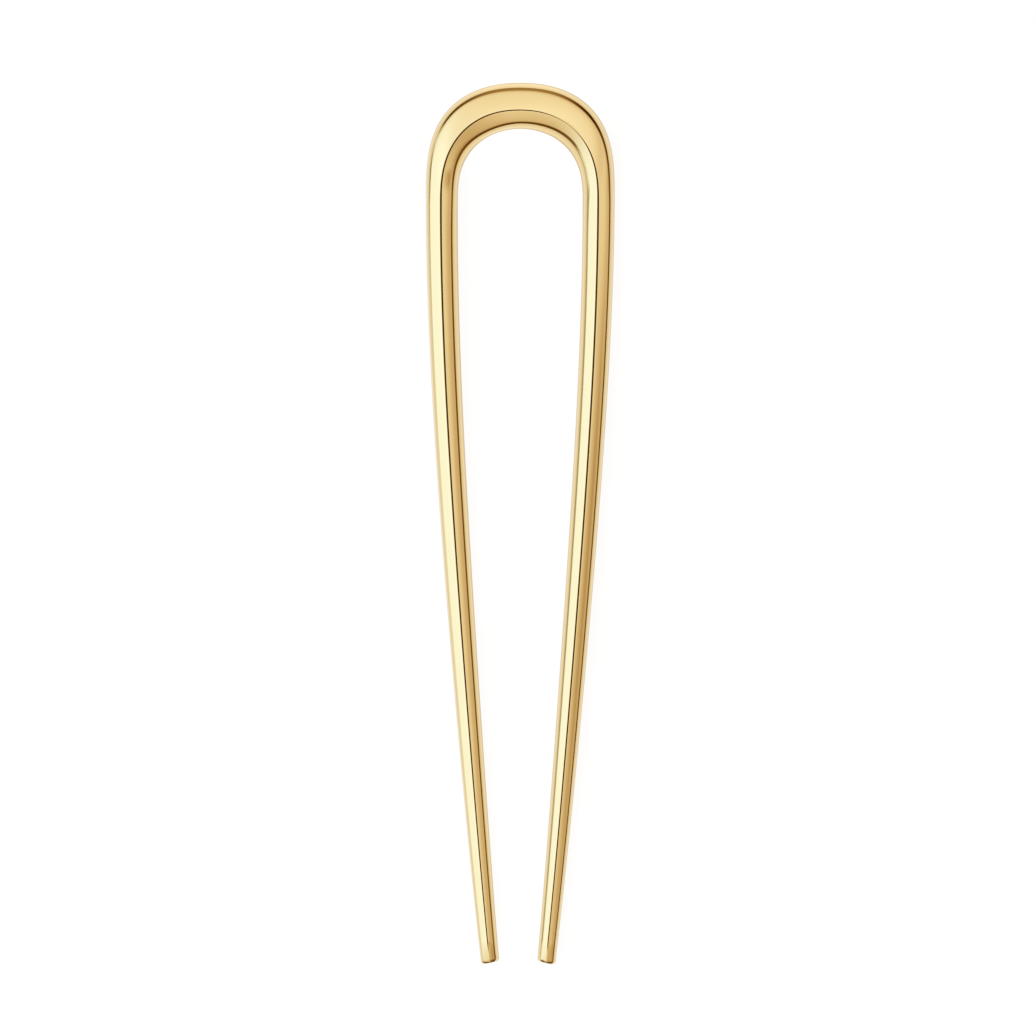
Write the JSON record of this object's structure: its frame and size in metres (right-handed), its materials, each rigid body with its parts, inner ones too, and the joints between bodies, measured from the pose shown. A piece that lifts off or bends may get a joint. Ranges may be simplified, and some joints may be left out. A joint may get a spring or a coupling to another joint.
{
  "type": "french hair pin",
  "caption": "Long U-shaped metal hair pin with a wide rounded crown and tapering legs, a ridge along its front between sloping facets, and a flat back.",
  "frame": {"origin": "centre of the bounding box, on the plane of the flat back", "axes": "+Y along the pin towards the crown, +X across it, +Z out of the ridged front"},
  "size_m": [0.0278, 0.13, 0.0034],
  "materials": {
    "polished_gold": "gold plated, mirror polished"
  },
  "bodies": {
    "root": {"hair_pin": "polished_gold"}
  },
  "joints": []
}
